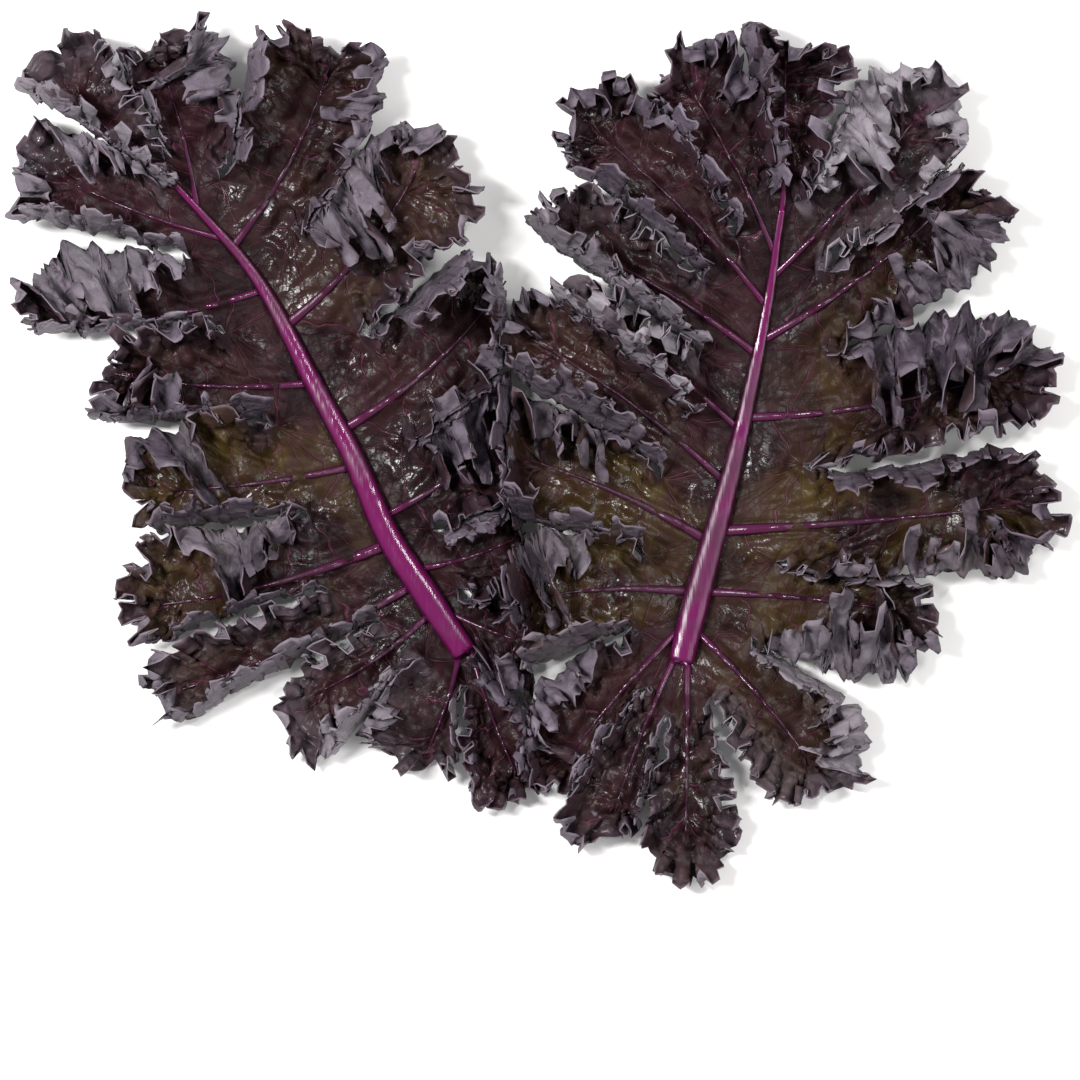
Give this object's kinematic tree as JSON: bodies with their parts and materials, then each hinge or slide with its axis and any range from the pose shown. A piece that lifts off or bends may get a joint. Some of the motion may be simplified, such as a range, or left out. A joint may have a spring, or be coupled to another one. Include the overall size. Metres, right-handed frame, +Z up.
{
  "type": "purple kale bunch",
  "caption": "Small bunch of frilled purple kale leaves laid flat side by side, each with a thick magenta midrib, forked veins and ruffled dark lobes.",
  "frame": {"origin": "on the table, under the middle of the bunch's bounding box", "axes": "+X across the two leaves, +Y towards the leaf tips, +Z up off the table"},
  "size_m": [0.3752, 0.3028, 0.0558],
  "materials": {
    "left_rib": "smooth waxy magenta rib with a soft gloss",
    "left_blade": "dark purple leaf with a waxy gloss",
    "right_rib": "smooth waxy magenta rib with a soft gloss",
    "right_blade": "dark purple leaf with a waxy gloss"
  },
  "bodies": {
    "root": {"left_leaf_ribs": "left_rib", "left_leaf_blade": "left_blade", "right_leaf_ribs": "right_rib", "right_leaf_blade": "right_blade"}
  },
  "joints": []
}
